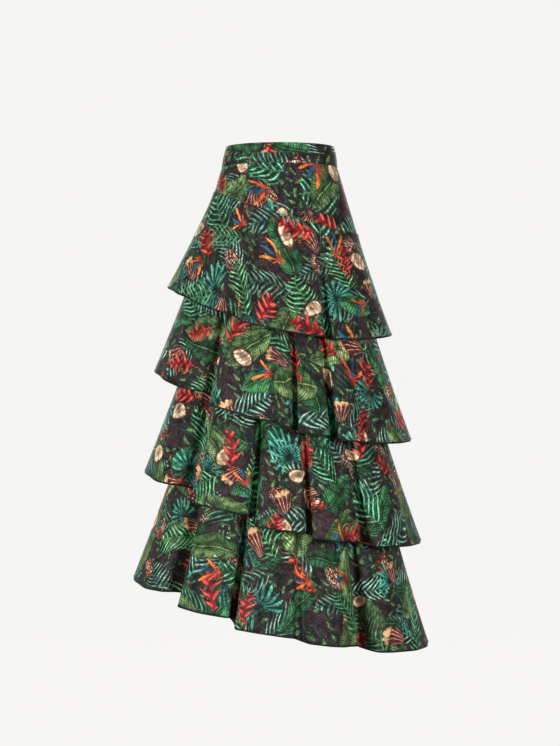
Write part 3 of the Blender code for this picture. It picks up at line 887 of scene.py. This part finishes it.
def zip_yarn(name, colour, roughness, ridges_per_metre):
    """Dark nylon: slanted ridges in the bump, and a fine change of tone from noise."""
    made, tree, shader = new_material(name)
    lie = place_on_map(tree, "lie")
    tone = noise(tree, lie, YARN_SCALE, dimensions="3D")
    yarn = blend_dyes(tree, tone.outputs["Fac"], colour, YARN_HIGHLIGHT)
    set_in(tree, shader.inputs["Base Color"], yarn)
    shader.inputs["Roughness"].default_value = roughness
    ridges = ridges_along(tree, lie, "DIAGONAL", ridges_per_metre)
    raise_bump(tree, shader, ridges, strength=0.6, distance=0.0002)
    return made


tapes = zip_tapes()
tapes.data.materials.append(zip_yarn("woven_zip_tape", dye(18, 18, 20), 0.75, 1600))
coil = zip_coil()
coil.data.materials.append(zip_yarn("nylon_zip_coil", dye(12, 12, 14), 0.38, 2400))


WEAR_SCALE = 900.0


def painted_metal():
    """Black enamel on cast metal, with faint orange peel and small worn spots in the roughness."""
    made, tree, shader = new_material("black_enamel")
    shader.inputs["Base Color"].default_value = dye(24, 24, 26)
    shader.inputs["Metallic"].default_value = 0.3
    place = tree.nodes.new("ShaderNodeTexCoord")
    wear = noise(tree, place.outputs["Object"], WEAR_SCALE, dimensions="3D")
    set_in(tree, shader.inputs["Roughness"], fade(tree, wear.outputs["Fac"], 0.3, 0.7, 0.28, 0.5))
    raise_bump(tree, shader, wear.outputs["Fac"], strength=0.15, distance=0.0001)
    return made


ENAMEL = painted_metal()
for node in ("zip_slider", "zip_pull"):
    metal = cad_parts[node]
    metal.data.materials.clear()
    metal.data.materials.append(ENAMEL)

# The studio: a pale sweep of paper that is floor and backdrop in one, large soft lights on both sides,
# weaker ones behind and above, and a level camera half way down the skirt, as the photograph has it.
SWEEP_FLOOR_Z = -1.60
SWEEP_TOP_Z = 7.0
SWEEP_FRONT_Y = -9.0
SWEEP_WALL_Y = 7.5
SWEEP_RADIUS = 2.5
SWEEP_HALF_WIDTH = 12.0
PAPER_WHITE = dye(246, 245, 243)
PAPER_GLOW = 0.985
CARD_END_Y = -1.0
CARD_LIGHT = 0.06
CLEAR_PAPER_Y = 1.6
CLEAR_PAPER_LIGHT = 0.40


def sweep_points():
    """A flat floor that turns up into a wall on a quarter circle, carried straight across."""
    turn = np.linspace(0.0, math.pi / 2, 24)
    curve_y = SWEEP_WALL_Y - SWEEP_RADIUS + SWEEP_RADIUS * np.sin(turn)
    curve_z = SWEEP_FLOOR_Z + SWEEP_RADIUS * (1 - np.cos(turn))
    y = np.concatenate([[SWEEP_FRONT_Y], curve_y, [SWEEP_WALL_Y]])
    z = np.concatenate([[SWEEP_FLOOR_Z], curve_z, [SWEEP_TOP_Z]])
    x = np.array([-SWEEP_HALF_WIDTH, SWEEP_HALF_WIDTH])
    across = np.broadcast_to(x, (len(y), 2))
    return np.stack([across, *(np.repeat(v[:, None], 2, axis=1) for v in (y, z))], axis=-1)


def paper_sweep():
    """The paper glows evenly pale to the camera. To other rays its light grows by a soft step in Y, so in
    front it sends little back up into the folds, as when a photographer lays a black card there."""
    points = sweep_points()
    index = np.arange(len(points) * 2).reshape(-1, 2)
    made = mesh_object("paper_sweep", points, corners_of(index[:, ::-1]).reshape(-1, 4).tolist())
    paper, tree, shader = new_material("pale_paper")
    shader.inputs["Base Color"].default_value = dye(44, 43, 42)
    shader.inputs["Roughness"].default_value = 0.9
    shader.inputs["Specular IOR Level"].default_value = 0.1
    shader.inputs["Emission Color"].default_value = PAPER_WHITE
    place = tree.nodes.new("ShaderNodeTexCoord")
    spot = tree.nodes.new("ShaderNodeSeparateXYZ")
    set_in(tree, spot.inputs[0], place.outputs["Object"])
    sent_back = fade(tree, spot.outputs[1], CARD_END_Y, CLEAR_PAPER_Y, CARD_LIGHT, CLEAR_PAPER_LIGHT)
    ray = tree.nodes.new("ShaderNodeLightPath")
    seen = reckon(tree, "MULTIPLY", ray.outputs["Is Camera Ray"], PAPER_GLOW)
    set_in(tree, shader.inputs["Emission Strength"], reckon(tree, "MAXIMUM", sent_back, seen))
    made.data.materials.append(paper)


paper_sweep()

# Each soft light: where it stands, its size and its power.
SoftLight = namedtuple("SoftLight", "name place size power")
LIGHTS = [
    SoftLight("key", (-2.9, -3.1, -0.1), 1.0, 109.0),
    SoftLight("fill", (2.8, -3.2, -0.2), 1.0, 79.0),
    SoftLight("left back", (-1.8, 3.7, 0.5), 1.6, 26.0),
    SoftLight("right back", (1.8, 3.7, 0.5), 1.6, 26.0),
    SoftLight("top", (0.0, -0.6, 2.8), 2.0, 10.0),
]
LAMP_COLOUR = (1.0, 0.95, 1.0)
LIGHTS_AIM_AT = np.array([0.0, 0.0, -0.5])
for light in LIGHTS:
    lamp = bpy.data.lights.new(light.name, "AREA")
    lamp.shape = "DISK"
    lamp.size = light.size
    lamp.energy = light.power
    lamp.color = LAMP_COLOUR
    stand = bpy.data.objects.new(light.name, lamp)
    aim = LIGHTS_AIM_AT - np.array(light.place)
    stand.location = light.place
    turned = math.atan2(-aim[0], aim[1])
    tipped = math.acos(-aim[2] / np.linalg.norm(aim))
    stand.rotation_euler = (tipped, 0.0, turned)
    bpy.context.scene.collection.objects.link(stand)

# The room round the paper: as pale as the paper to the camera, and a weak even light to all else.
ROOM_LIGHT = 0.13
world = bpy.data.worlds.new("studio")
world.use_nodes = True
sky = world.node_tree
seen = sky.nodes["Background"]
seen.inputs["Color"].default_value = PAPER_WHITE
room = sky.nodes.new("ShaderNodeBackground")
room.inputs["Color"].default_value = PAPER_WHITE
room.inputs["Strength"].default_value = ROOM_LIGHT
ray = sky.nodes.new("ShaderNodeLightPath")
either = sky.nodes.new("ShaderNodeMixShader")
sky.links.new(ray.outputs["Is Camera Ray"], either.inputs[0])
sky.links.new(room.outputs[0], either.inputs[1])
sky.links.new(seen.outputs[0], either.inputs[2])
sky.links.new(either.outputs[0], sky.nodes["World Output"].inputs["Surface"])
bpy.context.scene.world = world
bpy.context.scene.view_settings.view_transform = "Standard"

# The camera sees as much of the skirt's plane, from top to bottom, as the photograph does.
CAMERA_AWAY = 4.0
CAMERA_Z = -0.4696
METRES_PER_PIXEL = 0.00218
PHOTO_HEIGHT = 746
lens = bpy.data.cameras.new("camera")
lens.lens = lens.sensor_width * CAMERA_AWAY / (PHOTO_HEIGHT * METRES_PER_PIXEL)
camera = bpy.data.objects.new("camera", lens)
camera.location = (0.0, -CAMERA_AWAY, CAMERA_Z)
camera.rotation_euler = (math.pi / 2, 0.0, 0.0)
bpy.context.scene.collection.objects.link(camera)
bpy.context.scene.camera = camera
